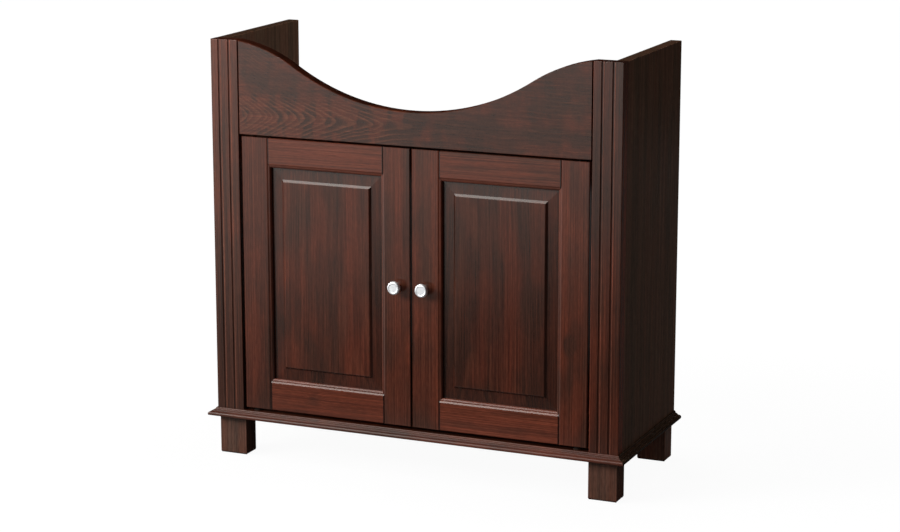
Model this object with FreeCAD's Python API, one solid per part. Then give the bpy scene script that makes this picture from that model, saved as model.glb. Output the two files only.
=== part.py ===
import FreeCAD, Part
import math
import os

# Washbasin base cabinet of solid pine: an open carcass on four feet with two inset panelled doors.
# Millimetres, +Z up. The pieces are modelled with the front of the pilasters at Y = 0, the middle at
# X = 0 and the floor at Z = 0. Each one is moved on export, so that the origin lies on the floor under
# the middle of the cabinet's box.

Vector = FreeCAD.Vector
SIDES = {"left": -1, "right": 1}
UP = Vector(0, 0, 1)
BACKWARD = Vector(0, 1, 0)
same_place = 1e-4

# Carcass
body_width = 670.0
body_depth = 265.0
total_height = 660.0
side_thickness = 18.0
pilaster_width = 46.0
flute_width = 5.0
flute_depth = 1.3
flute_spacing = 17.0
apron_height = 145.0
arch_depth = 93.0
arch_shoulder_radius = 230.0
arch_shoulder_overrun = 32.0
apron_groove_width = 1.4
apron_groove_depth = 2.5
arris = 1.0

# Base
foot_height = 63.0
foot_width = 46.0
foot_depth = 32.0
foot_side_inset = 2.0
foot_end_inset = 4.0
foot_chamfer = 2.0
base_thickness = 12.0
moulding_overhang = 12.0
moulding_top_flat = 0.8
moulding_top_bead = 1.6
moulding_middle_bead = 1.0
moulding_middle_reach = 5.6
moulding_middle_height = 8.2
moulding_nose_radius = 2.8
moulding_nose_height = 5.6
moulding_lower_radius = 1.4
moulding_upper_cove_sag = 0.6
moulding_lower_cove_sag = 0.4

# Rails behind the front and at the back
back_rail_thickness = 18.0
upper_rail_height = 75.0
upper_rail_below_top = 165.0
lower_rail_height = 60.0
wall_hole_radius = 3.0
wall_hole_spacing = 400.0
stop_rail_thickness = 18.0
stop_rail_drop = 20.0
stop_rail_lap = 25.0
stop_rail_end_clearance = 1.5

# Doors
door_thickness = 18.0
door_recess = 1.5
door_gap = 3.0
door_gap_at_hinge = 4.0
door_gap_below = 5.0
stop_clearance = 1.0
stile_flat = 42.5
top_rail_flat = 40.0
bottom_rail_flat = 44.0
sticking_width = 6.5
sticking_slope_width = 2.4
sticking_slope_depth = 1.1
bead_wall = 2.4
panel_recess = 7.0
groove_width = 6.0
groove_depth = 9.0
tongue_clearance = 0.5
panel_side_clearance = 0.1
panel_margin = 17.5
panel_bevel_rise = 1.0
field_step = 3.0
field_slope = 3.5

# Door pivots
pin_radius = 3.0
pin_depth_in_door = 22.0
pin_depth_in_bush = 8.5
pin_running_clearance = 0.05
collar_radius = 5.5
bush_radius = 5.0
bush_length = 10.0
bush_flange_radius = 7.0
bush_flange_thickness = 1.5
swing_clearance = 1.8

# Knobs
knob_radius = 10.2
knob_projection = 16.5
knob_stem_radius = 4.2
knob_stem_length = 6.0
knob_flare_sag = 1.6
knob_rim_width = 2.6
knob_rim_length = 2.6
knob_dish = 0.5
knob_dish_slope = 1.2
knob_rise = 3.0
knob_screw_radius = 2.0
knob_screw_grip = 9.0
knob_screw_head_radius = 4.0
knob_screw_head_height = 2.5

# Catches
catch_offset = 70.0
catch_width = 28.0
catch_height = 14.0
catch_depth = 15.0
catch_setback = 1.2
catch_lug_width = 9.0
catch_lug_thickness = 3.0
catch_wall = 3.0
pole_thickness = 1.5
magnet_depth = 10.0
strike_width = 36.0
strike_height = 12.0
strike_thickness = 1.2
strike_air = 0.2

# Dowels and screws
peg_clearance = 0.05
dowel_radius = 4.0
dowel_chamfer = 0.8
apron_dowel_length = 36.0
base_dowel_length = 30.0
base_dowel_in_board = 10.0
front_dowel_length = 30.0
front_dowel_in_pilaster = 12.0
rail_dowel_length = 35.0
rail_dowel_in_side = 11.0
end_dowel_margin = 30.0
rail_dowel_margin = 15.0
side_dowel_margin = 60.0
large_screw = {"radius": 2.0, "head": 4.0, "length": 45.0}
medium_screw = {"radius": 1.75, "head": 3.5, "length": 30.0}
small_screw = {"radius": 1.5, "head": 2.75, "length": 13.0}
screw_slot_depth = 0.8
screw_slot_width = 0.7
foot_screw_spacing = 16.0
stop_screw_spacing = 180.0

# Levels and planes that follow from the sizes above
half_width = body_width / 2
opening_half = half_width - pilaster_width
side_inner = half_width - side_thickness
door_back = door_recess + door_thickness
front_thickness = door_back + stop_clearance
base_top = foot_height + base_thickness
apron_bottom = total_height - apron_height
door_bottom = base_top + door_gap_below
door_top = apron_bottom - door_gap
door_outer = opening_half - door_gap_at_hinge
door_inner = door_gap / 2
rail_end = stile_flat + sticking_width
groove_back = panel_recess + groove_width
stop_rail_bottom = apron_bottom - stop_rail_drop
swing_room = door_gap_at_hinge - swing_clearance
pivot_setback = ((door_thickness / 2) ** 2 - swing_room ** 2) / (2 * swing_room)
pivot_x = door_outer - pivot_setback
pivot_y = door_recess + door_thickness / 2
swing_radius = pivot_setback + swing_room
knob_x = door_inner + stile_flat / 2
knob_z = (door_bottom + door_top) / 2 + knob_rise
strike_z = stop_rail_bottom - catch_height / 2
front_reach = max(moulding_overhang, knob_projection - door_recess)
to_origin = Vector(0, (front_reach - body_depth) / 2, 0)


# Helpers

def block(x, y, z):
    """A box between two limits on each axis."""
    return Part.makeBox(x[1] - x[0], y[1] - y[0], z[1] - z[0], Vector(x[0], y[0], z[0]))


def rod(start, direction, length, radius):
    return Part.makeCylinder(radius, length, start, direction)


def prism(points, travel):
    """A polygon swept along a straight travel."""
    outline = Part.makePolygon(points + points[:1])
    return Part.Face(outline).extrude(travel)


def quarter_round(at, start, end):
    """A quarter circle, or near it, that leaves start level and reaches end upright."""
    share = math.sqrt(0.5)
    middle = (start[0] + (end[0] - start[0]) * share, end[1] + (start[1] - end[1]) * share)
    return Part.Arc(at(*start), at(*middle), at(*end)).toShape()


def bow(at, start, end, sag):
    """An arc whose middle lies off its chord by sag, on the right hand of the way from start to end."""
    run = end[0] - start[0]
    rise = end[1] - start[1]
    chord = math.hypot(run, rise)
    middle = ((start[0] + end[0]) / 2 + sag * rise / chord, (start[1] + end[1]) / 2 - sag * run / chord)
    return Part.Arc(at(*start), at(*middle), at(*end)).toShape()


def edges_in(shape, **planes):
    """The edges that lie in every plane given, such as x=3.0 and z=0.0."""
    chosen = []
    for edge in shape.Edges:
        box = edge.BoundBox
        span = {"x": (box.XMin, box.XMax), "y": (box.YMin, box.YMax), "z": (box.ZMin, box.ZMax)}
        ends = [abs(end - value) for axis, value in planes.items() for end in span[axis]]
        if max(ends) < same_place:
            chosen.append(edge)
    return chosen


def mirrored(shape, side):
    """Pieces are drawn on the left; the right one is the mirror image."""
    return shape if side == "left" else shape.mirror(Vector(), Vector(1, 0, 0))


def drilled(shape, holes):
    """The shape with each hole cut out of it."""
    for hole in holes:
        shape = shape.cut(hole)
    return shape


def save(name, *solids):
    """Writes one piece, or a group of like pieces, to its own file."""
    shape = solids[0] if len(solids) == 1 else Part.makeCompound(list(solids))
    shape = shape.copy()
    shape.translate(to_origin)
    shape.exportStep(os.path.join("parts", name + ".step"))


# Dowels: each group is a list of places (start, direction, length)

def dowel(place):
    start, direction, length = place
    peg = rod(start, direction, length, dowel_radius)
    return peg.makeChamfer(dowel_chamfer, [edge for edge in peg.Edges if edge.Closed])


def dowel_hole(place):
    start, direction, length = place
    ends = direction * peg_clearance
    return rod(start - ends, direction, length + 2 * peg_clearance, dowel_radius + peg_clearance)


def apron_dowel_places():
    places = []
    for sign in SIDES.values():
        for height in (apron_bottom + end_dowel_margin, total_height - end_dowel_margin):
            start = Vector(sign * (opening_half - apron_dowel_length / 2), front_thickness / 2, height)
            places.append((start, Vector(sign, 0, 0), apron_dowel_length))
    return places


def base_dowel_places():
    places = []
    side_middle = half_width - side_thickness / 2
    spots = [
        (half_width - pilaster_width / 2, front_thickness / 2),
        (side_middle, front_thickness + side_dowel_margin),
        (side_middle, body_depth - side_dowel_margin),
    ]
    for sign in SIDES.values():
        for x, y in spots:
            start = Vector(sign * x, y, base_top - base_dowel_in_board)
            places.append((start, UP, base_dowel_length))
    return places


def front_dowel_places():
    places = []
    low = base_top + side_dowel_margin
    high = total_height - side_dowel_margin
    for sign in SIDES.values():
        for height in (low, (low + high) / 2, high):
            x = sign * (half_width - side_thickness / 2)
            start = Vector(x, front_thickness - front_dowel_in_pilaster, height)
            places.append((start, BACKWARD, front_dowel_length))
    return places


upper_rail_top = total_height - upper_rail_below_top
upper_rail_span = (upper_rail_top - upper_rail_height, upper_rail_top)
lower_rail_span = (base_top, base_top + lower_rail_height)


def rail_dowel_places():
    places = []
    for sign in SIDES.values():
        for low, high in (upper_rail_span, lower_rail_span):
            for height in (low + rail_dowel_margin, high - rail_dowel_margin):
                x = sign * (side_inner + rail_dowel_in_side)
                start = Vector(x, body_depth - back_rail_thickness / 2, height)
                places.append((start, Vector(-sign, 0, 0), rail_dowel_length))
    return places


apron_dowels = apron_dowel_places()
base_dowels = base_dowel_places()
front_dowels = front_dowel_places()
rail_dowels = rail_dowel_places()


# Screws: each place is (middle of the head's flat, direction of travel)

def countersunk(place, screw, clearance=0.0):
    """A countersunk shank with a pointed tip; the same shape with a clearance is its hole."""
    start, direction = place
    radius = screw["radius"] + clearance
    head = screw["head"] + clearance
    sink = head - radius
    tip = 2 * screw["radius"]
    cone = Part.makeCone(head, radius, sink, start, direction)
    shank = rod(start, direction, screw["length"] - tip, radius)
    point = Part.makeCone(radius, 0, tip, start + direction * (screw["length"] - tip), direction)
    return cone.fuse([shank, point]).removeSplitter()


def wood_screw(place, screw):
    """A countersunk wood screw with a plain slot across its head."""
    start, direction = place
    slot_length = 2 * (screw["head"] + screw_slot_width)
    slot = Part.makeBox(slot_length, screw_slot_width, screw_slot_depth,
                        Vector(-slot_length / 2, -screw_slot_width / 2, 0))
    slot.Placement = FreeCAD.Placement(start, FreeCAD.Rotation(UP, direction))
    return countersunk(place, screw).cut(slot)


def screw_holes(places, screw):
    return [countersunk(place, screw, peg_clearance) for place in places]


foot_x = half_width - foot_side_inset - foot_width
foot_y = {"front": foot_end_inset, "back": body_depth - foot_end_inset - foot_depth}
foot_screw_x = foot_x + foot_width / 2 - foot_screw_spacing / 2


def foot_screw_places():
    places = []
    for sign in SIDES.values():
        for y in foot_y.values():
            for step in (-1, 1):
                screw_y = y + foot_depth / 2 + step * foot_screw_spacing / 2
                places.append((Vector(sign * foot_screw_x, screw_y, base_top), -UP))
    return places


def stop_screw_places():
    y = front_thickness + stop_rail_thickness
    z = apron_bottom + stop_rail_lap / 2
    return [(Vector(step * stop_screw_spacing, y, z), -BACKWARD) for step in (-1, 0, 1)]


def catch_screw_places():
    places = []
    y = front_thickness + catch_setback + catch_depth / 2
    z = stop_rail_bottom - catch_lug_thickness
    reach = catch_width / 2 + catch_lug_width / 2
    for sign in SIDES.values():
        for step in (-1, 1):
            places.append((Vector(sign * catch_offset + step * reach, y, z), UP))
    return places


foot_screws = foot_screw_places()
stop_screws = stop_screw_places()
catch_screws = catch_screw_places()


# Carcass

def side_panel():
    panel = block((-half_width, -side_inner), (front_thickness, body_depth), (base_top, total_height))
    panel = panel.makeFillet(arris, edges_in(panel, z=total_height))
    return drilled(panel, map(dowel_hole, base_dowels + front_dowels + rail_dowels))


def pilaster():
    post = block((-half_width, -opening_half), (0, front_thickness), (base_top, total_height))
    long_edges = edges_in(post, x=-half_width, y=0) + edges_in(post, x=-opening_half, y=0)
    post = post.makeFillet(arris, long_edges + edges_in(post, y=0, z=total_height))
    middle = -half_width + pilaster_width / 2
    flute_radius = (flute_width ** 2 / 4 + flute_depth ** 2) / (2 * flute_depth)
    for step in (-1, 1):
        foot = Vector(middle + step * flute_spacing / 2, flute_depth - flute_radius, base_top)
        post = post.cut(rod(foot, UP, total_height - base_top, flute_radius))
    return drilled(post, map(dowel_hole, apron_dowels + base_dowels + front_dowels))


def arch_edges():
    """The scalloped top edge, from right to left: a shoulder arc, the wide bottom arc and a shoulder arc.

    Each shoulder's crest lies past the end of the apron, and the bottom arc is tangent to both shoulders.
    """
    shoulder_x = opening_half + arch_shoulder_overrun
    shoulder_z = total_height - math.sqrt(arch_shoulder_radius ** 2 - arch_shoulder_overrun ** 2)
    lowest = total_height - arch_depth
    rise = lowest - shoulder_z
    radius = (shoulder_x ** 2 + rise ** 2 - arch_shoulder_radius ** 2) / (2 * (arch_shoulder_radius - rise))
    turn = math.atan2(shoulder_x, lowest + radius - shoulder_z)
    end_turn = math.asin(arch_shoulder_overrun / arch_shoulder_radius)

    def on_shoulder(angle, sign):
        x = shoulder_x - arch_shoulder_radius * math.sin(angle)
        return Vector(sign * x, 0, shoulder_z + arch_shoulder_radius * math.cos(angle))

    middle = (turn + end_turn) / 2
    right = [on_shoulder(angle, 1) for angle in (end_turn, middle, turn)]
    left = [on_shoulder(angle, -1) for angle in (turn, middle, end_turn)]
    bottom = [right[-1], Vector(0, 0, lowest), left[0]]
    return [Part.Arc(*points).toShape() for points in (right, bottom, left)]


def apron():
    """The scalloped board, with a narrow groove at each end, where it meets the pilasters."""
    corners = [Vector(-opening_half, 0, total_height), Vector(-opening_half, 0, apron_bottom),
               Vector(opening_half, 0, apron_bottom), Vector(opening_half, 0, total_height)]
    straight = [Part.makeLine(corners[i], corners[i + 1]) for i in range(3)]
    board = Part.Face(Part.Wire(straight + arch_edges())).extrude(BACKWARD * front_thickness)
    groove = block((-opening_half, apron_groove_width - opening_half), (0, apron_groove_depth),
                   (apron_bottom, total_height))
    board = drilled(board, [mirrored(groove, side) for side in SIDES])
    back_edges = edges_in(board, y=front_thickness)
    arch_back = [edge for edge in back_edges if isinstance(edge.Curve, Part.Circle)]
    board = board.makeFillet(arris, edges_in(board, y=0) + arch_back)
    board = drilled(board, map(dowel_hole, apron_dowels))
    board = drilled(board, screw_holes(stop_screws, medium_screw))
    return drilled(board, [bush_seat("top", sign) for sign in SIDES.values()])


def base_board():
    board = block((-half_width, half_width), (0, body_depth), (foot_height, base_top))
    board = drilled(board, map(dowel_hole, base_dowels))
    board = drilled(board, screw_holes(foot_screws, large_screw))
    return drilled(board, [bush_seat("bottom", sign) for sign in SIDES.values()])


def moulding_face(at):
    """The section, from the top: two beads and a thick rounded nose, with a shallow cove below each bead.

    at(out, up) places a point by its reach from the board and its height.
    """
    top_start = (moulding_top_flat, base_thickness)
    top_end = (moulding_top_flat + moulding_top_bead, base_thickness - moulding_top_bead)
    middle_start = (moulding_middle_reach - moulding_middle_bead, moulding_middle_height)
    middle_end = (moulding_middle_reach, moulding_middle_height - moulding_middle_bead)
    nose_start = (moulding_overhang - moulding_nose_radius, moulding_nose_height)
    nose_end = (moulding_overhang, moulding_nose_height - moulding_nose_radius)
    lower_start = (moulding_overhang - moulding_lower_radius, 0)
    lower_end = (moulding_overhang, moulding_lower_radius)
    rounds = [(top_start, top_end), (middle_start, middle_end), (nose_start, nose_end),
              (lower_start, lower_end)]
    edges = [quarter_round(at, start, end) for start, end in rounds]
    edges.append(bow(at, top_end, middle_start, moulding_upper_cove_sag))
    edges.append(bow(at, middle_end, nose_start, moulding_lower_cove_sag))
    corners = [lower_start, (0, 0), (0, base_thickness), top_start]
    for start, end in [(nose_end, lower_end)] + list(zip(corners, corners[1:])):
        edges.append(Part.makeLine(at(*start), at(*end)))
    return Part.Face(Part.Wire(Part.__sortEdges__(edges)))


def front_moulding():
    outer = half_width + moulding_overhang
    face = moulding_face(lambda out, up: Vector(-outer, -out, foot_height + up))
    strip = face.extrude(Vector(2 * outer, 0, 0))
    plan = [Vector(-half_width, 0, foot_height), Vector(-outer, -moulding_overhang, foot_height),
            Vector(outer, -moulding_overhang, foot_height), Vector(half_width, 0, foot_height)]
    return strip.common(prism(plan, UP * base_thickness))


def side_moulding():
    outer = half_width + moulding_overhang
    face = moulding_face(lambda out, up: Vector(-half_width - out, -moulding_overhang, foot_height + up))
    strip = face.extrude(BACKWARD * (body_depth + moulding_overhang))
    plan = [Vector(-half_width, 0, foot_height), Vector(-half_width, body_depth, foot_height),
            Vector(-outer, body_depth, foot_height), Vector(-outer, -moulding_overhang, foot_height)]
    return strip.common(prism(plan, UP * base_thickness))


def foot(end):
    y = foot_y[end]
    leg = block((-foot_x - foot_width, -foot_x), (y, y + foot_depth), (0, foot_height))
    uprights = [edge for edge in leg.Edges if edge.BoundBox.ZLength > foot_height / 2]
    leg = leg.makeFillet(arris, uprights)
    leg = leg.makeChamfer(foot_chamfer, edges_in(leg, z=0))
    return drilled(leg, screw_holes(foot_screws, large_screw))


def back_rail(span):
    rail = block((-side_inner, side_inner), (body_depth - back_rail_thickness, body_depth), span)
    return drilled(rail, map(dowel_hole, rail_dowels))


def upper_back_rail():
    middle = sum(upper_rail_span) / 2
    holes = []
    for sign in SIDES.values():
        start = Vector(sign * wall_hole_spacing / 2, body_depth - back_rail_thickness, middle)
        holes.append(rod(start, BACKWARD, back_rail_thickness, wall_hole_radius))
    return drilled(back_rail(upper_rail_span), holes)


def door_stop_rail():
    half = pivot_x - swing_radius - stop_rail_end_clearance
    rail = block((-half, half), (front_thickness, front_thickness + stop_rail_thickness),
                 (stop_rail_bottom, apron_bottom + stop_rail_lap))
    rail = drilled(rail, screw_holes(stop_screws, medium_screw))
    return drilled(rail, screw_holes(catch_screws, small_screw))


# Door pivots: the lower pin's collar carries the door on the flange of the lower bush

def pivot_end(end):
    """Where the bush meets its board, the way into the board, and the door's edge at that end."""
    if end == "top":
        return apron_bottom, UP, door_top
    return base_top, -UP, door_bottom


def bush_seat(end, sign):
    level, inward, _ = pivot_end(end)
    return rod(Vector(sign * pivot_x, pivot_y, level), inward, bush_length + peg_clearance,
               bush_radius + peg_clearance)


def pivot_bush(end):
    level, inward, _ = pivot_end(end)
    centre = Vector(-pivot_x, pivot_y, level)
    flange = rod(centre, -inward, bush_flange_thickness, bush_flange_radius)
    body = rod(centre, inward, bush_length, bush_radius)
    bore = rod(centre - inward * bush_flange_thickness, inward, bush_flange_thickness + bush_length,
               pin_radius + pin_running_clearance)
    return flange.fuse(body).cut(bore)


def pivot_pin(end):
    level, inward, edge = pivot_end(end)
    inside = Vector(-pivot_x, pivot_y, edge) - inward * pin_depth_in_door
    length = pin_depth_in_door + abs(edge - level) + pin_depth_in_bush
    pin = rod(inside, inward, length, pin_radius)
    if end == "top":
        return pin
    collar_height = door_gap_below - bush_flange_thickness
    collar = rod(Vector(-pivot_x, pivot_y, edge), inward, collar_height, collar_radius)
    return pin.fuse(collar).removeSplitter()


def pin_hole(end):
    _, inward, edge = pivot_end(end)
    start = Vector(-pivot_x, pivot_y, edge)
    return rod(start, -inward, pin_depth_in_door + peg_clearance, pin_radius + peg_clearance)


# Doors, drawn for the left one

def frame_section(at, flat):
    """The section of a stile or rail: a flat face, a slope, a bead and the groove for the panel.

    at(across, deep) places a point by its distance from the door's outer edge and from its front.
    """
    inner = flat + sticking_width
    bead_start = (flat + sticking_slope_width, sticking_slope_depth)
    bead_end = (inner, panel_recess - bead_wall)
    face = [(0, arris), (arris, 0), (flat, 0), bead_start]
    groove = [bead_end, (inner, panel_recess), (inner - groove_depth, panel_recess),
              (inner - groove_depth, groove_back), (inner, groove_back), (inner, door_thickness),
              (0, door_thickness), (0, arris)]
    edges = []
    for run in (face, groove):
        edges += [Part.makeLine(at(*run[i]), at(*run[i + 1])) for i in range(len(run) - 1)]
    edges.append(quarter_round(at, bead_start, bead_end))
    return Part.Face(Part.Wire(Part.__sortEdges__(edges)))


def stile(outer_x, towards):
    """A full-height stile from its outer edge; towards is +1 or -1 along X, to the panel."""
    def at(across, deep):
        return Vector(outer_x + towards * across, door_recess + deep, door_bottom)

    post = frame_section(at, stile_flat).extrude(UP * (door_top - door_bottom))
    ends = edges_in(post, y=door_recess, z=door_top) + edges_in(post, y=door_recess, z=door_bottom)
    return post.makeChamfer(arris / 2, ends)


def hinge_stile():
    return drilled(stile(-door_outer, 1), [pin_hole("top"), pin_hole("bottom")])


def meeting_stile():
    front = Vector(-knob_x, door_recess, knob_z)
    hole = rod(front, BACKWARD, door_thickness, knob_screw_radius + peg_clearance)
    return stile(-door_inner, -1).cut(hole)


def rail(outer_z, towards, flat):
    """A rail coped over both stiles, with its tongues in their grooves."""
    left = -door_outer + rail_end - groove_depth + tongue_clearance
    right = -door_inner - rail_end + groove_depth - tongue_clearance

    def at(across, deep):
        return Vector(left, door_recess + deep, outer_z + towards * across)

    bar = frame_section(at, flat).extrude(Vector(right - left, 0, 0))
    for outer_x, side in ((-door_outer, 1), (-door_inner, -1)):
        bar = bar.cut(stile(outer_x, side))
        bar = bar.cut(above_slope(outer_x + side * stile_flat, side))
    return max(bar.Solids, key=lambda solid: solid.Volume)


def above_slope(edge_x, towards):
    """The wedge in front of a stile's slope, which stays open where the rails meet the stile."""
    points = []
    for across, deep in ((0, 0), (sticking_slope_width, sticking_slope_depth), (sticking_slope_width, 0)):
        points.append(Vector(edge_x + towards * across, door_recess + deep, door_bottom))
    return prism(points, UP * (door_top - door_bottom))


def top_rail():
    hole = countersunk(strike_screw_place(), small_screw, peg_clearance)
    return rail(door_top, -1, top_rail_flat).cut(hole)


def bottom_rail():
    return rail(door_bottom, 1, bottom_rail_flat)


def panel():
    """A raised panel: a tongue in the frame's groove, a bevelled margin and a stepped field."""
    low_x = -door_outer + rail_end
    high_x = -door_inner - rail_end
    low_z = door_bottom + bottom_rail_flat + sticking_width
    high_z = door_top - top_rail_flat - sticking_width
    front = door_recess + panel_recess + panel_side_clearance
    back = door_recess + groove_back - panel_side_clearance
    reach = groove_depth - tongue_clearance

    def rectangle(inset, y):
        x0, x1, z0, z1 = low_x + inset, high_x - inset, low_z + inset, high_z - inset
        corners = [Vector(x0, y, z0), Vector(x1, y, z0), Vector(x1, y, z1), Vector(x0, y, z1)]
        return Part.makePolygon(corners + corners[:1])

    step_y = front - panel_bevel_rise
    tongue = Part.Face(rectangle(-reach, front)).extrude(BACKWARD * (back - front))
    bevel = Part.makeLoft([rectangle(0, front), rectangle(panel_margin, step_y)], True, True)
    field_y = step_y - field_step
    field_outlines = [rectangle(panel_margin, step_y), rectangle(panel_margin + field_slope, field_y)]
    field = Part.makeLoft(field_outlines, True, True)
    field = field.makeFillet(arris, edges_in(field, y=field_y))
    return tongue.fuse([bevel, field]).removeSplitter()


# Knobs

def knob():
    """A turned knob: a straight stem, a flared neck, a rounded rim and a shallow dish in its face."""
    neck = (knob_stem_radius, knob_stem_length)
    rim_back = (knob_radius, knob_projection - 2 * knob_rim_length)
    rim_front = (knob_radius, knob_projection - knob_rim_length)
    ring = (knob_radius - knob_rim_width, knob_projection)
    dish_edge = (ring[0] - knob_dish_slope, knob_projection - knob_dish)
    dish_middle = (0, knob_projection - knob_dish)

    def at(radius, out):
        return Vector(-knob_x + radius, door_recess - out, knob_z)

    edges = [bow(at, rim_back, neck, knob_flare_sag), quarter_round(at, ring, rim_front)]
    for run in ([rim_back, rim_front], [ring, dish_edge, dish_middle, (0, 0), (knob_stem_radius, 0), neck]):
        edges += [Part.makeLine(at(*run[i]), at(*run[i + 1])) for i in range(len(run) - 1)]
    face = Part.Face(Part.Wire(Part.__sortEdges__(edges)))
    seat = at(0, 0)
    turned = face.revolve(seat, BACKWARD, 360)
    bore = rod(seat, -BACKWARD, knob_screw_grip + peg_clearance, knob_screw_radius + peg_clearance)
    return turned.cut(bore)


def knob_screw():
    seat = Vector(-knob_x, door_back, knob_z)
    shank = rod(seat, -BACKWARD, door_thickness + knob_screw_grip, knob_screw_radius)
    head = rod(seat, BACKWARD, knob_screw_head_height, knob_screw_head_radius)
    top = door_back + knob_screw_head_height
    head = head.makeFillet(knob_screw_head_height / 2, edges_in(head, y=top))
    slot = block((-knob_x - knob_screw_head_radius, -knob_x + knob_screw_head_radius),
                 (top - screw_slot_depth, top),
                 (knob_z - screw_slot_width / 2, knob_z + screw_slot_width / 2))
    return head.cut(slot).fuse(shank).removeSplitter()


# Magnetic catches

catch_front = front_thickness + catch_setback
catch_span_z = (stop_rail_bottom - catch_height, stop_rail_bottom)
pocket_half = catch_width / 2 - catch_wall
pocket_z = (strike_z - catch_height / 2 + catch_wall, strike_z + catch_height / 2 - catch_wall)


def strike_screw_place():
    return Vector(-catch_offset, door_back + strike_thickness, strike_z), -BACKWARD


def catch_housing():
    centre = -catch_offset
    body = block((centre - catch_width / 2, centre + catch_width / 2),
                 (catch_front, catch_front + catch_depth), catch_span_z)
    lug_half = catch_width / 2 + catch_lug_width
    lugs = block((centre - lug_half, centre + lug_half), (catch_front, catch_front + catch_depth),
                 (stop_rail_bottom - catch_lug_thickness, stop_rail_bottom))
    pocket = block((centre - pocket_half, centre + pocket_half), (catch_front, catch_front + magnet_depth),
                   pocket_z)
    return drilled(body.fuse(lugs).cut(pocket).removeSplitter(), screw_holes(catch_screws, small_screw))


def catch_magnet():
    half = pocket_half - peg_clearance
    return block((-catch_offset - half, -catch_offset + half), (catch_front, catch_front + magnet_depth),
                 (pocket_z[0] + pole_thickness, pocket_z[1] - pole_thickness))


def pole_plates(side):
    """The two steel plates that carry the pull from the magnet to the strike plate."""
    front = door_back + strike_thickness + strike_air
    half = pocket_half - peg_clearance
    plates = []
    for low in (pocket_z[0], pocket_z[1] - pole_thickness):
        plate = block((-catch_offset - half, -catch_offset + half), (front, catch_front + magnet_depth),
                      (low, low + pole_thickness))
        plates.append(mirrored(plate, side))
    return plates


def strike_plate():
    plate = block((-catch_offset - strike_width / 2, -catch_offset + strike_width / 2),
                  (door_back, door_back + strike_thickness),
                  (strike_z - strike_height / 2, strike_z + strike_height / 2))
    corners = [edge for edge in plate.Edges if edge.BoundBox.YLength > strike_thickness / 2]
    plate = plate.makeFillet(arris, corners)
    return plate.cut(countersunk(strike_screw_place(), small_screw, peg_clearance))


# Export

os.makedirs("parts", exist_ok=True)

save("apron", apron())
save("base_board", base_board())
save("base_moulding_front", front_moulding())
save("back_rail_upper", upper_back_rail())
save("back_rail_lower", back_rail(lower_rail_span))
save("door_stop_rail", door_stop_rail())
save("apron_dowels", *map(dowel, apron_dowels))
save("base_dowels", *map(dowel, base_dowels))
save("pilaster_dowels", *map(dowel, front_dowels))
save("back_rail_dowels", *map(dowel, rail_dowels))
save("foot_screws", *[wood_screw(place, large_screw) for place in foot_screws])
save("door_stop_screws", *[wood_screw(place, medium_screw) for place in stop_screws])
save("catch_screws", *[wood_screw(place, small_screw) for place in catch_screws])
save("catch_pole_plates", *pole_plates("left"), *pole_plates("right"))

paired = {
    "side_panel_{}": side_panel(),
    "pilaster_{}": pilaster(),
    "base_moulding_{}": side_moulding(),
    "foot_front_{}": foot("front"),
    "foot_back_{}": foot("back"),
    "pivot_bush_top_{}": pivot_bush("top"),
    "pivot_bush_bottom_{}": pivot_bush("bottom"),
    "catch_housing_{}": catch_housing(),
    "catch_magnet_{}": catch_magnet(),
    "door_{}_hinge_stile": hinge_stile(),
    "door_{}_meeting_stile": meeting_stile(),
    "door_{}_top_rail": top_rail(),
    "door_{}_bottom_rail": bottom_rail(),
    "door_{}_panel": panel(),
    "door_{}_pivot_pin_top": pivot_pin("top"),
    "door_{}_pivot_pin_bottom": pivot_pin("bottom"),
    "door_{}_knob": knob(),
    "door_{}_knob_screw": knob_screw(),
    "door_{}_strike_plate": strike_plate(),
    "door_{}_strike_screw": wood_screw(strike_screw_place(), small_screw),
}
for name, piece in paired.items():
    for side in SIDES:
        save(name.format(side), mirrored(piece, side))
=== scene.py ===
import math
from types import SimpleNamespace

import bpy
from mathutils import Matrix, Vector

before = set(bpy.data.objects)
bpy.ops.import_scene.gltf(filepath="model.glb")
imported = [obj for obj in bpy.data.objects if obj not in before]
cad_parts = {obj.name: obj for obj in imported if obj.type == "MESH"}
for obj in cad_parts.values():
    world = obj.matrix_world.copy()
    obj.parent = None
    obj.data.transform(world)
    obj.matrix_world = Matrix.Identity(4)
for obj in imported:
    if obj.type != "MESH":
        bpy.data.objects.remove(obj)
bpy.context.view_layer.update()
scene = bpy.context.scene

# Washbasin base cabinet of dark stained pine. Metres, in the part's own frame: the origin is on the floor
# under the middle of the cabinet, +X to the right, +Y to the back, +Z up.

# Camera: the focal length is in pixels of a picture 900 wide
picture_width = 900
focal_pixels = 2477.0
camera_place = (1.494, -3.450, 1.1536)
camera_yaw = math.radians(23.26)
camera_pitch = math.radians(12.69)
sensor_width = 36.0

# Stained pine: the two tones of its stain, its pale late wood and its lacquer
late_wood = (0.165, 0.050, 0.026, 1)
red_wood = (0.106, 0.0235, 0.0115, 1)
dark_wood = (0.046, 0.0150, 0.0088, 1)
lacquer_tint = (1.0, 0.96, 0.90, 1)
lacquer_roughness = (0.17, 0.26)
grain_depth = 0.0002
grain_strength = 0.15

# Pace of the figure: how often it varies in a metre, along the grain, across the board and into it
wander_pace = (5, 22, 22)
fibre_pace = (6, 800, 800)
strand_pace = (3, 260, 260)
pore_pace = (90, 600, 600)
band_pace = (2.5, 34, 34)
cloud_pace = (12, 26, 26)
clear_pace = (5, 18, 18)

# Pace of the years: how often their width and their tone vary in a year
year_width_pace = 0.37
year_tone_pace = 0.21

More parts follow.
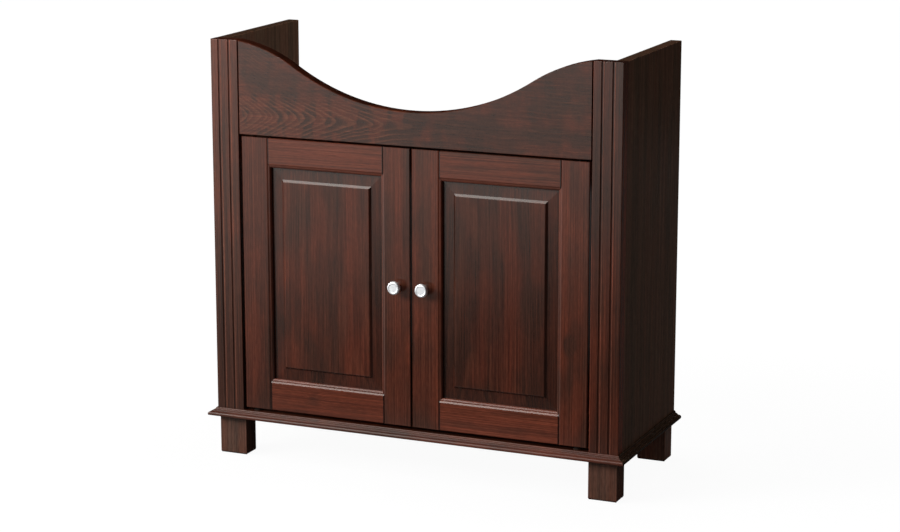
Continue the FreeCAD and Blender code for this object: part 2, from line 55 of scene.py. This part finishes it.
# Strength of the figure: the usual range of a noise, and how far it takes the level or the tone
level_noise = (0.25, 0.75)
fibre_contrast = 0.4
strand_contrast = 0.3
pore_contrast = 0.25
tone_noise = (0.3, 0.7)
year_contrast = 0.25
cloud_contrast = 0.5
band_noise = (0.32, 0.68)
clear_noise = (0.4, 0.62)
least_clear = 0.3
fibre_noise = (0.2, 0.8)

# Growth: the late wood through a year, the change of its width, the staves' shift, the heart and the knots
late_growth = [(0.0, 0.0), (0.45, 0.1), (0.80, 1.0), (0.92, 0.85), (1.0, 0.0)]
late_height = 0.5
year_width_change = 1.6
stave_shift = (0, 0.06, 0.06)
heart_width = 0.046
heart_core = 0.3 * heart_width
heart_run_out = 0.008
heart_lines = 0.8
heart_noise = (0.38, 0.62)
heart_blotches = (-1.5, 1.0)
knot_shape = (0.7, 1, 0)
knot_years = 2.5
knot_darkness = 1.2

# Surface: painted shade in corners and in recesses behind the face, cut edges, end grain, painted light on
# the sides that face the low side across the board, and joints
corner_reach = 0.006
corner_samples = 4
corner_shade = (0.3, 0.95)
corner_level = 0.62
corner_gloss = (0.75, 0.97)
sheen = (0.08, 0.5)
recess_shade_depth = (0.0008, 0.0022)
sawn_depth = (0.00001, 0.00005)
flank_blur = 0.0005
end_grain = (0.6, 0.9)
end_grain_level = 0.4
painted_light_facing = (-0.5, -0.15)
joint_width = 0.0016
joint_core = 0.8 * joint_width
joint_level = 0.2

# A plain board, for the settings that a board doesn't name: one stave, its face, edge, ends and knot far off
far_off = 9.0
plain_pine = dict(ring=0.0036, stave=10.0, seed=0.0, redness=0.0, rise=0.0, wander=0.006, lines=0.26,
                  taper=0.0, level=1.0, face=far_off, behind=1.0, sawn=0.0, edge=far_off, flank=1.0,
                  painted_light_side=1.0, ends=(-far_off, far_off, 0.0), knot=(0.0, far_off, 0.01), dark=dark_wood,
                  red=red_wood)

# Beech: its tones, the pace of its tone and of its flecks, and its surface
beech_pale = (0.56, 0.36, 0.20, 1)
beech_brown = (0.40, 0.23, 0.115, 1)
beech_dark = (0.26, 0.13, 0.06, 1)
beech_pace = (6, 240, 240)
fleck_pace = (420, 2600, 900)
fleck_noise = (0.60, 0.72)
beech_roughness = (0.5, 0.7)
beech_depth = 0.0004

# Metal, plastic and magnets: patches and specks in the finish, and the knobs' turned circles and smudges
patch_grain = 90.0
patch_detail = 4.0
patch_noise = (0.35, 0.65)
patch_share = 0.7
speck_share = 0.3
roughness_change = 0.07
satin_dark = (0.88, 0.89, 0.90, 1)
satin_pale = (0.96, 0.97, 0.98, 1)
satin_roughness = (0.50, 0.60)
circle_grain = 4200.0
circle_depth = 0.00006
smudge_grain = 160.0

# Floor: its size, drop and grey, and how white the camera sees it, from the cabinet outwards
floor_size = 30
floor_drop = 0.0005
floor_colour = (0.05, 0.05, 0.05, 1)
white_reach = (0.5, 1.8)
white_levels = (0.95, 1.0)

# Floor in gloss: pale at the front left, at the back left and close to the front, and dark elsewhere
front_left = (-0.8, -0.6, 0)
front_reach = 5.0
front_stops = [(0.19, 0.0), (0.25, 0.19), (0.42, 0.40), (0.72, 0.47), (0.80, 0.55), (0.92, 1.0)]
front_level = 2.0
back_left = (-0.93, 0.37, 0)
back_reach = (0.05, 1.05)
back_inner = (0.45, 0.75)
back_outer = (2.6, 3.4)
back_level = 0.8
near_front = (-0.46, -0.30)
near_back = (-0.20, -0.12)
near_right = (0.1, 0.4)
near_level = 0.35

# World: the direction of the light that gloss mirrors, how wide it is, and the grey that lights the rest
light_direction = (-0.45, -0.65, 0.6)
light_spread = (0.72, 1.0)
room_level = 0.20

# Values that several looks share
across_grain = (0, 1, 1)
noise_middle = (0.5, 0.5, 0.5)
fine_detail = 3.0
same_face = 0.0001
white = (1, 1, 1, 1)


def span(node, axis):
    """The lowest and the highest place of a node's points along an axis: 0, 1 or 2 for X, Y or Z."""
    places = [vertex.co[axis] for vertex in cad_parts[node].data.vertices]
    return min(places), max(places)


def front_ends(node):
    """The lowest and the highest X on the front face of a node, which shows less than the whole piece."""
    front = span(node, 1)[0] + same_face
    places = [vertex.co.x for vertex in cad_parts[node].data.vertices if vertex.co.y < front]
    return min(places), max(places), 0.0


def cleared_tree(owner):
    """The empty node tree of a material or a world."""
    owner.use_nodes = True
    owner.node_tree.nodes.clear()
    return owner.node_tree


def add(tree, kind, inputs=None, **settings):
    """A node with its settings, and with each input linked to a socket or set to a value."""
    node = tree.nodes.new("ShaderNode" + kind)
    for name, value in settings.items():
        setattr(node, name, value)
    for socket, value in (inputs or {}).items():
        if isinstance(value, bpy.types.NodeSocket):
            tree.links.new(value, node.inputs[socket])
        else:
            node.inputs[socket].default_value = value
    return node


def math_node(tree, operation, first, second=0.0):
    return add(tree, "Math", {0: first, 1: second}, operation=operation).outputs[0]


def chained(tree, operation, values):
    """The values, joined by one operation from the first to the last."""
    result = values[0]
    for value in values[1:]:
        result = math_node(tree, operation, result, value)
    return result


def vector_node(tree, operation, first, second):
    return add(tree, "VectorMath", {0: first, 1: second}, operation=operation).outputs[0]


def scaled(tree, vector, factor):
    return add(tree, "VectorMath", {0: vector, "Scale": factor}, operation="SCALE").outputs[0]


def length(tree, vector):
    return add(tree, "VectorMath", {0: vector}, operation="LENGTH").outputs["Value"]


def along(tree, vector, direction):
    """How far a vector goes in a direction."""
    return add(tree, "VectorMath", {0: vector, 1: direction}, operation="DOT_PRODUCT").outputs["Value"]


def separated(tree, vector):
    return add(tree, "SeparateXYZ", {0: vector}).outputs


def noise(tree, place, pace, seed=0.0, detail=2.0):
    """Noise with a pace of its own along each axis."""
    inputs = {"Vector": vector_node(tree, "MULTIPLY", place, pace), "W": seed, "Scale": 1.0, "Detail": detail}
    return add(tree, "TexNoise", inputs, noise_dimensions="4D").outputs


def line_noise(tree, place, detail=2.0):
    """Noise along a line."""
    inputs = {"W": place, "Scale": 1.0, "Detail": detail}
    return add(tree, "TexNoise", inputs, noise_dimensions="1D").outputs["Fac"]


def mix_colour(tree, share, first, second, blend="MIX"):
    return add(tree, "Mix", {0: share, 6: first, 7: second}, data_type="RGBA", blend_type=blend).outputs[2]


def spread(tree, value, low, high, to_low=0.0, to_high=1.0, shape="LINEAR"):
    """A value from low to high, spread over another range and held at its ends."""
    inputs = {"Value": value, "From Min": low, "From Max": high, "To Min": to_low, "To Max": to_high}
    return add(tree, "MapRange", inputs, interpolation_type=shape).outputs[0]


def varied(tree, value, usual, middle, amount):
    """A noise in its usual range, spread by an amount on both sides of a middle."""
    return spread(tree, value, *usual, middle - amount, middle + amount)


def grey(tree, level):
    return add(tree, "CombineXYZ", {"X": level, "Y": level, "Z": level}).outputs[0]


def ramp(tree, value, stops):
    node = add(tree, "ValToRGB", {0: value})
    elements = node.color_ramp.elements
    while len(elements) < len(stops):
        elements.new(0.5)
    for element, (place, level) in zip(elements, stops):
        element.position = place
        element.color = (level, level, level, 1)
    return node.outputs[0]


def staves(tree, given, parts):
    """The place in the trunk that a stave is cut from, and the stave's own seed."""
    from_edge = math_node(tree, "ADD", math_node(tree, "DIVIDE", parts["Y"], given["Stave"]), 0.5)
    stave = math_node(tree, "FLOOR", from_edge)
    own_seed = math_node(tree, "ADD", given["Seed"], stave)
    chance = add(tree, "TexWhiteNoise", {"W": own_seed}, noise_dimensions="1D").outputs["Color"]
    shift = vector_node(tree, "MULTIPLY", vector_node(tree, "SUBTRACT", chance, noise_middle), stave_shift)
    past_first = math_node(tree, "MINIMUM", math_node(tree, "ABSOLUTE", stave), 1.0)
    stave_middle = math_node(tree, "MULTIPLY", stave, given["Stave"])
    to_middle = add(tree, "CombineXYZ", {"Y": stave_middle}).outputs[0]
    in_stave = vector_node(tree, "SUBTRACT", given["Place"], to_middle)
    return vector_node(tree, "ADD", in_stave, scaled(tree, shift, past_first)), own_seed


def growth_rings(tree, given, parts, cut, own_seed):
    """The place in the wandering grain, the years from the pith, and the heart, knot and late wood."""
    drift = noise(tree, cut, wander_pace, own_seed, fine_detail)["Color"]
    drift = scaled(tree, vector_node(tree, "SUBTRACT", drift, noise_middle), given["Wander"])
    flow = vector_node(tree, "ADD", cut, vector_node(tree, "MULTIPLY", drift, across_grain))
    lean = scaled(tree, given["Tilt"], parts["X"])
    from_pith = vector_node(tree, "SUBTRACT", vector_node(tree, "SUBTRACT", flow, given["Pith"]), lean)
    off = separated(tree, from_pith)
    before_pith = math_node(tree, "MAXIMUM", math_node(tree, "MULTIPLY", off["X"], -1.0), 0.0)
    run_out = math_node(tree, "MULTIPLY", math_node(tree, "POWER", before_pith, 2.0), given["Taper"])
    beside = math_node(tree, "ABSOLUTE", off["Y"])
    heart = math_node(tree, "MULTIPLY", spread(tree, beside, heart_core, heart_width, 1, 0, "SMOOTHSTEP"),
                      spread(tree, run_out, 0.0, heart_run_out))

    off_knot = vector_node(tree, "SUBTRACT", given["Place"], given["Knot"])
    off_knot = length(tree, vector_node(tree, "MULTIPLY", off_knot, knot_shape))
    knot_size = separated(tree, given["Knot"])["Z"]
    knot = spread(tree, math_node(tree, "DIVIDE", off_knot, knot_size), 0, 1, 1, 0, "SMOOTHSTEP")

    radius = length(tree, vector_node(tree, "MULTIPLY", from_pith, across_grain))
    years = math_node(tree, "DIVIDE", math_node(tree, "SUBTRACT", radius, run_out), given["Ring"])
    uneven = line_noise(tree, math_node(tree, "MULTIPLY", years, year_width_pace))
    years = chained(tree, "ADD", [years, math_node(tree, "MULTIPLY", uneven, year_width_change),
                                  math_node(tree, "MULTIPLY", knot, knot_years)])
    late = ramp(tree, math_node(tree, "FRACT", years), late_growth)
    return SimpleNamespace(flow=flow, years=years, heart=heart, knot=knot, late=late)


def stained_wood(tree, given, parts, cut, own_seed, rings):
    """Red and dark bands and clouds, partly along the rings, with pale lines of late wood."""
    band = noise(tree, rings.flow, band_pace, own_seed, fine_detail)["Fac"]
    cloud = noise(tree, cut, cloud_pace, own_seed)["Fac"]
    clear = spread(tree, noise(tree, cut, clear_pace, own_seed)["Fac"], *clear_noise, least_clear, 1.0)
    year_tone = math_node(tree, "ADD", math_node(tree, "MULTIPLY", rings.years, year_tone_pace), own_seed)
    blotches = spread(tree, cloud, *heart_noise, *heart_blotches)
    red_share = chained(tree, "ADD", [
        spread(tree, band, *band_noise),
        given["Redness"],
        varied(tree, line_noise(tree, year_tone), tone_noise, 0.0, year_contrast),
        varied(tree, cloud, tone_noise, 0.0, cloud_contrast),
        math_node(tree, "MULTIPLY", rings.knot, -knot_darkness),
        math_node(tree, "MULTIPLY", parts["X"], given["Rise"]),
        math_node(tree, "MULTIPLY", rings.heart, blotches)])
    line_share = math_node(tree, "MAXIMUM", math_node(tree, "MULTIPLY", clear, given["Lines"]),
                           math_node(tree, "MULTIPLY", rings.heart, heart_lines))
    line_share = math_node(tree, "MULTIPLY", line_share, rings.late)
    return mix_colour(tree, line_share, mix_colour(tree, red_share, given["Dark"], given["Red"]), late_wood)


def pine_figure():
    """The figure of stained pine, as a solid: growth rings about a pith, a wandering grain and fibres.

    Place is (along the grain, across the board, into the board) in metres. Pith and Tilt say where the
    middle of the trunk lies and how far it leaves the board for each metre, and Ring is the width of a
    year's growth. Taper makes the rings run out in nested points along the heart, before Pith, wider and
    wider apart towards it. Wide boards are glued up from staves, each from another place in the trunk.
    Redness grows by Rise for each metre along the grain. Level lightens the board. Behind is the level and
    Sawn the added roughness of what lies behind Face; the lower level there is painted shade, in recesses
    and on sawn faces. Flank is the level of what lies past Edge, across the board. Corners are darker by
    their ambient occlusion, which is painted shade. Facing is the surface's normal, turned as Place is: end
    grain is darker, and another setting is the level of what faces the low side, across the board, which is
    painted light on the sides that face the key lamp. Ends are where the board meets others along the grain,
    with a dark line at the joint. Knot is (along, across, size), and Dark and Red are the two tones of the
    stain.
    """
    tree = bpy.data.node_groups.new("pine_figure", "ShaderNodeTree")
    inputs = {"Vector": ["Place", "Facing", "Pith", "Tilt", "Ends", "Knot"],
              "Float": ["Ring", "Stave", "Seed", "Redness", "Rise", "Wander", "Lines", "Taper", "Level",
                        "Face", "Behind", "Sawn", "Edge", "Flank", "Painted_light_side"],
              "Color": ["Dark", "Red"]}
    outputs = {"Color": ["Colour"], "Float": ["Roughness", "Sheen", "Height"]}
    for in_out, sockets in (("INPUT", inputs), ("OUTPUT", outputs)):
        for kind, names in sockets.items():
            for name in names:
                tree.interface.new_socket(name, in_out=in_out, socket_type="NodeSocket" + kind)
    given = tree.nodes.new("NodeGroupInput").outputs
    result = tree.nodes.new("NodeGroupOutput").inputs

    parts = separated(tree, given["Place"])
    cut, own_seed = staves(tree, given, parts)
    rings = growth_rings(tree, given, parts, cut, own_seed)
    stained = stained_wood(tree, given, parts, cut, own_seed, rings)
    fibre, strand, pore = [noise(tree, rings.flow, pace, own_seed)["Fac"]
                           for pace in (fibre_pace, strand_pace, pore_pace)]

    # Ambient occlusion: painted shade in corners, and less gloss in hollows
    corner = add(tree, "AmbientOcclusion", {"Distance": corner_reach}, samples=corner_samples).outputs["AO"]
    behind_face = math_node(tree, "SUBTRACT", parts["Z"], given["Face"])
    past_edge = math_node(tree, "SUBTRACT", parts["Y"], given["Edge"])
    facing = separated(tree, given["Facing"])
    on_end = math_node(tree, "ABSOLUTE", facing["X"])
    ends = separated(tree, given["Ends"])
    to_joint = math_node(tree, "MINIMUM", math_node(tree, "SUBTRACT", parts["X"], ends["X"]),
                         math_node(tree, "SUBTRACT", ends["Y"], parts["X"]))
    # The level holds painted shade in corners and behind Face, and painted light on the sides that face the
    # key lamp
    level = chained(tree, "MULTIPLY", [
        varied(tree, fibre, level_noise, 1.0, fibre_contrast),
        varied(tree, strand, level_noise, 1.0, strand_contrast),
        varied(tree, pore, level_noise, 1.0, pore_contrast),
        given["Level"],
        spread(tree, corner, *corner_shade, corner_level, 1.0),
        spread(tree, behind_face, *recess_shade_depth, 1.0, given["Behind"]),
        spread(tree, past_edge, 0.0, flank_blur, 1.0, given["Flank"]),
        spread(tree, on_end, *end_grain, 1.0, end_grain_level),
        spread(tree, facing["Y"], *painted_light_facing, given["Painted_light_side"], 1.0),
        spread(tree, to_joint, joint_core, joint_width, joint_level, 1.0)])
    sawn = spread(tree, behind_face, *sawn_depth, 0.0, given["Sawn"])
    planed = math_node(tree, "SUBTRACT", 1.0, sawn)
    found = {
        "Colour": mix_colour(tree, 1.0, stained, grey(tree, level), "MULTIPLY"),
        "Roughness": math_node(tree, "ADD", spread(tree, fibre, *fibre_noise, *lacquer_roughness), sawn),
        "Sheen": math_node(tree, "MULTIPLY", planed, spread(tree, corner, *corner_gloss, *sheen)),
        "Height": math_node(tree, "ADD", math_node(tree, "MULTIPLY", rings.late, late_height), fibre)}
    for name, value in found.items():
        tree.links.new(value, result[name])
    return tree


figure = pine_figure()


def new_material(name):
    material = bpy.data.materials.new(name)
    tree = cleared_tree(material)
    shader = add(tree, "BsdfPrincipled")
    add(tree, "OutputMaterial", {"Surface": shader.outputs[0]})
    place = add(tree, "TexCoord").outputs["Object"]
    return material, tree, shader, place


def turned_to(tree, place, axes):
    """A place with its parts in the order of axes, such as "zxy"."""
    parts = separated(tree, place)
    first, second, third = [parts[axis.upper()] for axis in axes]
    return add(tree, "CombineXYZ", {"X": first, "Y": second, "Z": third}).outputs[0]


def roughen(tree, shader, height, depth, strength=0.3):
    bump = add(tree, "Bump", {"Strength": strength, "Distance": depth, "Height": height})
    tree.links.new(bump.outputs[0], shader.inputs["Normal"])


def pine(name, axes, pith, stretch=(1, 1, 1), heart_end=0.0, tilt=(0.0, 0.0), gloss=0.5, **settings):
    """Pine with the grain along the first of axes; pith and tilt are across the board and into it.

    Stretch makes the figure that many times finer along the grain, across the board and into it. The
    settings are the figure's own, and those left out are plain.
    """
    material, tree, shader, place = new_material(name)
    group = tree.nodes.new("ShaderNodeGroup")
    group.node_tree = figure
    stretched = vector_node(tree, "MULTIPLY", turned_to(tree, place, axes), stretch)
    tree.links.new(stretched, group.inputs["Place"])
    normal = add(tree, "TexCoord").outputs["Normal"]
    tree.links.new(turned_to(tree, normal, axes), group.inputs["Facing"])
    values = dict(plain_pine, pith=(heart_end, *pith), tilt=(0, *tilt))
    values.update(settings)
    for setting, value in values.items():
        group.inputs[setting.capitalize()].default_value = value
    tree.links.new(group.outputs["Colour"], shader.inputs["Base Color"])
    tree.links.new(group.outputs["Roughness"], shader.inputs["Roughness"])
    shader.inputs["Specular Tint"].default_value = lacquer_tint
    if values["sawn"]:
        tree.links.new(group.outputs["Sheen"], shader.inputs["Specular IOR Level"])
    else:
        shader.inputs["Specular IOR Level"].default_value = gloss
    roughen(tree, shader, group.outputs["Height"], grain_depth, grain_strength)
    return material


def beech(axes):
    """Bare beech with its short dark flecks, the grain along the first of axes."""
    material, tree, shader, place = new_material("beech_" + axes)
    board = turned_to(tree, place, axes)
    tone = noise(tree, board, beech_pace, detail=fine_detail)["Fac"]
    fleck = spread(tree, noise(tree, board, fleck_pace, seed=1.0)["Fac"], *fleck_noise)
    wood = mix_colour(tree, fleck, mix_colour(tree, tone, beech_pale, beech_brown), beech_dark)
    tree.links.new(wood, shader.inputs["Base Color"])
    tree.links.new(spread(tree, tone, *tone_noise, *beech_roughness), shader.inputs["Roughness"])
    roughen(tree, shader, tone, beech_depth)
    return material


def worn(name, first, second, rough, grain, depth, metal=0.0, gloss=0.5):
    """A plain finish that wanders between two colours, with a fine grain (grains for each metre)."""
    material, tree, shader, place = new_material(name)
    patch = noise(tree, place, 3 * (patch_grain,), detail=patch_detail)["Fac"]
    speck = noise(tree, place, 3 * (grain,), seed=2.0)["Fac"]
    share = math_node(tree, "ADD", spread(tree, patch, *patch_noise, 0.0, patch_share),
                      spread(tree, speck, *tone_noise, 0.0, speck_share))
    tree.links.new(mix_colour(tree, share, first, second), shader.inputs["Base Color"])
    tree.links.new(varied(tree, patch, tone_noise, rough, roughness_change), shader.inputs["Roughness"])
    roughen(tree, shader, speck, depth)
    shader.inputs["Metallic"].default_value = metal
    shader.inputs["Specular IOR Level"].default_value = gloss
    return material


def turned_metal(name, knob):
    """Satin aluminium with the fine circles of its turning about the knob's axis, which runs along Y."""
    material, tree, shader, place = new_material(name)
    axis_x = sum(span(knob, 0)) / 2
    axis_z = sum(span(knob, 2)) / 2
    centred = vector_node(tree, "SUBTRACT", place, (axis_x, 0, axis_z))
    radius = length(tree, vector_node(tree, "MULTIPLY", centred, (1, 0, 1)))
    circles = line_noise(tree, math_node(tree, "MULTIPLY", radius, circle_grain), fine_detail)
    smudge = noise(tree, place, 3 * (smudge_grain,), axis_x, fine_detail)["Fac"]
    tree.links.new(mix_colour(tree, circles, satin_dark, satin_pale), shader.inputs["Base Color"])
    tree.links.new(spread(tree, smudge, *tone_noise, *satin_roughness), shader.inputs["Roughness"])
    roughen(tree, shader, circles, circle_depth)
    shader.inputs["Metallic"].default_value = 1.0
    return material


def dress(node, material):
    """Gives a node of the model one material."""
    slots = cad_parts[node].data.materials
    slots.clear()
    slots.append(material)


# The feet have a greyer, paler copy of the stain, a painted sheen. The side panels and the right moulding,
# whose seen faces are turned away from the key lamp, have a paler, browner copy of it: painted light and
# shade
foot_stain_and_painted_sheen = dict(dark=(0.080, 0.045, 0.033, 1), red=(0.112, 0.047, 0.031, 1), gloss=0.25)
shaded_side_stain = dict(dark=(0.081, 0.047, 0.029, 1), red=(0.110, 0.053, 0.032, 1))
pilaster_arris = 0.0008

# Boards: the grain's axis first, then the axes across and into the board
boards = {
    # The apron's Behind darkens its sawn arch top: painted shade
    "apron": dict(axes="xzy", stretch=(4, 1, 1), pith=(0.546, -0.116), heart_end=0.24, taper=0.05,
                  ring=0.0058, wander=0.009, seed=3.0, redness=-0.15, rise=-0.175, lines=0.25, level=0.74,
                  face=span("apron", 1)[0], behind=0.32, sawn=1.0),
    "base_board": dict(axes="xyz", pith=(0.03, 0.01), stave=0.07, seed=8.0, level=0.6),
    "base_moulding_front": dict(axes="xzy", stretch=(1, 0.25, 0.25), pith=(0.02, -0.09), seed=2.0, level=0.95,
                                face=-far_off, sawn=0.12),
    "base_moulding_left": dict(axes="yzx", pith=(0.02, -0.30), seed=4.0),
    # The right moulding's low level and redness are painted shade
    "base_moulding_right": dict(axes="yzx", pith=(0.02, 0.30), seed=5.0, redness=-0.5, level=0.6, gloss=0.18,
                                **shaded_side_stain),
    "back_rail_upper": dict(axes="xzy", pith=(0.40, 0.18), seed=11.0),
    "back_rail_lower": dict(axes="xzy", pith=(0.05, 0.18), seed=12.0),
    "door_stop_rail": dict(axes="xzy", pith=(0.45, -0.02), seed=13.0),
    # The side panels' levels above 1 are painted light on faces that the key lamp doesn't reach
    "side_panel_left": dict(axes="zyx", pith=(0.02, -0.36), stave=0.068, seed=21.0, level=1.15, gloss=0.26,
                            **shaded_side_stain),
    "side_panel_right": dict(axes="zyx", pith=(0.02, 0.36), stave=0.068, seed=25.0, level=1.2, gloss=0.1,
                             **shaded_side_stain),
    "pilaster_left": dict(axes="zxy", pith=(-0.26, -0.07), seed=31.0, redness=-1.65, rise=3.0, painted_light_side=2.4),
    "pilaster_right": dict(axes="zxy", pith=(0.26, -0.07), seed=35.0, redness=-0.2, level=0.78,
                           edge=span("pilaster_right", 0)[1] - pilaster_arris, flank=2.6, painted_light_side=2.4),
    # The feet's levels, highest on the back feet in the cabinet's shade, are painted light
    "foot_front_left": dict(axes="zxy", pith=(-0.28, -0.06), seed=41.0, level=1.1, **foot_stain_and_painted_sheen),
    "foot_front_right": dict(axes="zxy", pith=(0.28, -0.06), seed=42.0, level=1.0, **foot_stain_and_painted_sheen),
    "foot_back_left": dict(axes="zxy", pith=(-0.28, 0.06), seed=43.0, level=1.2, **foot_stain_and_painted_sheen),
    "foot_back_right": dict(axes="zxy", pith=(0.28, 0.06), seed=44.0, level=2.0, **foot_stain_and_painted_sheen),
    "door_left_hinge_stile": dict(axes="zxy", pith=(-0.18, -0.08), seed=57.0, redness=-0.2, rise=1.0,
                                  level=0.8),
    "door_left_meeting_stile": dict(axes="zxy", pith=(0.05, -0.07), seed=52.0, redness=-0.05, level=0.95),
    "door_left_top_rail": dict(axes="xzy", pith=(0.58, -0.09), seed=53.0, redness=0.4, level=1.12),
    "door_left_bottom_rail": dict(axes="xzy", pith=(0.02, -0.09), seed=54.0, redness=0.7, level=1.05,
                                  knot=(-0.165, 0.107, 0.018)),
    # The panels' Behind darkens their margins in the frame's recess: painted shade
    "door_left_panel": dict(axes="zxy", pith=(-0.10, -0.02), tilt=(0.01, 0.02), seed=55.0, redness=-0.2,
                            rise=0.3, level=0.86, face=span("door_left_panel", 1)[0], behind=0.78),
    "door_right_hinge_stile": dict(axes="zxy", pith=(0.18, -0.08), seed=61.0, redness=0.15, level=0.96,
                                   knot=(0.235, 0.256, 0.016)),
    "door_right_meeting_stile": dict(axes="zxy", pith=(-0.05, -0.07), seed=62.0, redness=-0.3, rise=1.2),
    "door_right_top_rail": dict(axes="xzy", pith=(0.58, -0.09), seed=63.0, redness=0.25),
    "door_right_bottom_rail": dict(axes="xzy", pith=(0.02, -0.09), seed=64.0, redness=0.8, level=1.15),
    "door_right_panel": dict(axes="zxy", pith=(0.10, -0.02), tilt=(-0.01, 0.02), seed=65.0, redness=-0.2,
                             rise=0.4, level=0.74, face=span("door_right_panel", 1)[0], behind=0.78),
}
for side in ("left", "right"):
    for rail in ("top_rail", "bottom_rail"):
        node = f"door_{side}_{rail}"
        boards[node]["ends"] = front_ends(node)
for node, board in boards.items():
    dress(node, pine("pine_" + node, **board))

# Dowels, by the axis that they lie along
dowels = {"apron_dowels": "xyz", "back_rail_dowels": "xyz", "pilaster_dowels": "yxz", "base_dowels": "zxy"}
for node, axes in dowels.items():
    dress(node, beech(axes))

# Metal, plastic and magnets
zinc = worn("zinc_plate", (0.50, 0.51, 0.52, 1), (0.66, 0.66, 0.64, 1),
            rough=0.36, grain=5000.0, depth=0.00005, metal=1.0)
# The pivot pins and bushes are near black, a painted shade for the dark gap they sit in
dark_steel = worn("dark_steel", (0.010, 0.0085, 0.008, 1), (0.020, 0.017, 0.016, 1),
                  rough=0.62, grain=4000.0, depth=0.00005, gloss=0.1)
dark_bronze = worn("dark_bronze", (0.018, 0.010, 0.007, 1), (0.032, 0.018, 0.012, 1),
                   rough=0.62, grain=3000.0, depth=0.00006, gloss=0.1)
plastic = worn("brown_plastic", (0.020, 0.010, 0.0075, 1), (0.029, 0.0155, 0.011, 1),
               rough=0.48, grain=2600.0, depth=0.00012)
ferrite = worn("ferrite", (0.018, 0.018, 0.019, 1), (0.042, 0.042, 0.044, 1),
               rough=0.62, grain=3600.0, depth=0.00008)
for node in ("foot_screws", "door_stop_screws", "catch_screws", "catch_pole_plates"):
    dress(node, zinc)
for side in ("left", "right"):
    for end in ("top", "bottom"):
        dress(f"pivot_bush_{end}_{side}", dark_bronze)
        dress(f"door_{side}_pivot_pin_{end}", dark_steel)
    dress(f"catch_housing_{side}", plastic)
    dress(f"catch_magnet_{side}", ferrite)
    for piece in ("knob_screw", "strike_plate", "strike_screw"):
        dress(f"door_{side}_{piece}", zinc)
    dress(f"door_{side}_knob", turned_metal("satin_knob_" + side, f"door_{side}_knob"))


# Stage
def floor_material():
    """White to the camera but for the cabinet's shadow, with its own pale and dark places in gloss."""
    material = bpy.data.materials.new("pale_floor")
    tree = cleared_tree(material)
    path = add(tree, "LightPath").outputs
    place = add(tree, "TexCoord").outputs["Object"]
    parts = separated(tree, place)
    distance = length(tree, place)
    in_front = ramp(tree, spread(tree, along(tree, place, front_left), 0.0, front_reach), front_stops)
    in_front = math_node(tree, "MULTIPLY", in_front, front_level)
    behind = chained(tree, "MULTIPLY", [
        spread(tree, along(tree, place, back_left), *back_reach, 0.0, back_level),
        spread(tree, distance, *back_inner),
        spread(tree, distance, *back_outer, 1.0, 0.0)])
    near = chained(tree, "MULTIPLY", [
        spread(tree, parts["Y"], *near_front),
        spread(tree, parts["Y"], *near_back, 1.0, 0.0),
        spread(tree, parts["X"], *near_right, near_level, 0.0)])
    to_gloss = math_node(tree, "MULTIPLY", path["Is Glossy Ray"],
                         chained(tree, "MAXIMUM", [in_front, behind, near]))
    to_camera = math_node(tree, "MULTIPLY", path["Is Camera Ray"],
                          spread(tree, distance, *white_reach, *white_levels, "SMOOTHSTEP"))
    strength = chained(tree, "ADD", [to_camera, to_gloss, path["Is Transmission Ray"]])
    matt = add(tree, "BsdfDiffuse", {"Color": floor_colour})
    glow = add(tree, "Emission", {"Color": white, "Strength": strength})
    both = add(tree, "AddShader", {0: matt.outputs[0], 1: glow.outputs[0]})
    add(tree, "OutputMaterial", {"Surface": both.outputs[0]})
    return material


bpy.ops.mesh.primitive_plane_add(size=floor_size, location=(0, 0, -floor_drop))
floor = bpy.context.object
floor.name = "floor"
floor.data.materials.append(floor_material())


# Light
def softbox(name, place, aim, size, power, in_gloss=True):
    """A lamp that the camera doesn't see, and that gloss mirrors only if in_gloss is true."""
    lamp = bpy.data.lights.new(name, "AREA")
    lamp.shape = "RECTANGLE"
    lamp.size, lamp.size_y = size
    lamp.energy = power
    holder = bpy.data.objects.new(name, lamp)
    holder.location = place
    holder.rotation_euler = (Vector(aim) - Vector(place)).to_track_quat("-Z", "Y").to_euler()
    holder.visible_camera = False
    holder.visible_glossy = in_gloss
    scene.collection.objects.link(holder)


softbox("key_softbox", place=(-3.2, -2.7, 2.05), aim=(0, -2.6, 1.6), size=(2.0, 1.8), power=220)
softbox("front_softbox", place=(-1.65, -3.28, 2.3), aim=(0, -0.1, 0.2), size=(1.4, 0.6), power=22)
softbox("top_softbox", place=(-1.1, -0.95, 2.6), aim=(0, -0.1, 0.4), size=(1.3, 0.9), power=20)
softbox("overhead_softbox", place=(0.12, 0.25, 2.1), aim=(0, 0.05, 0.3), size=(0.5, 0.5), power=15)
softbox("back_softbox", place=(0.6, 3.0, 1.2), aim=(0, 0, 0.35), size=(1.6, 1.0), power=10, in_gloss=False)
softbox("left_softbox", place=(-3.0, -0.3, 0.45), aim=(0, -0.1, 0.4), size=(1.2, 1.2), power=40,
        in_gloss=False)


# World
def studio_world():
    """White to the camera, pale towards the light in gloss and transmission, and an even grey to the rest."""
    world = bpy.data.worlds.new("studio")
    tree = cleared_tree(world)
    path = add(tree, "LightPath").outputs
    ray = add(tree, "TexCoord").outputs["Generated"]
    pale = spread(tree, along(tree, ray, light_direction), *light_spread)
    shown = math_node(tree, "ADD", path["Is Glossy Ray"], path["Is Transmission Ray"])
    studio = mix_colour(tree, shown, grey(tree, room_level), grey(tree, pale))
    strength = math_node(tree, "MAXIMUM", studio, path["Is Camera Ray"])
    sky = add(tree, "Background", {"Color": white, "Strength": strength})
    add(tree, "OutputWorld", {"Surface": sky.outputs[0]})
    return world


scene.world = studio_world()
scene.view_settings.view_transform = "Standard"

# Camera
lens = bpy.data.cameras.new("camera")
lens.sensor_width = sensor_width
lens.lens = focal_pixels / picture_width * sensor_width
camera = bpy.data.objects.new("camera", lens)
camera.location = camera_place
camera.rotation_euler = (math.pi / 2 - camera_pitch, 0, camera_yaw)
scene.collection.objects.link(camera)
scene.camera = camera
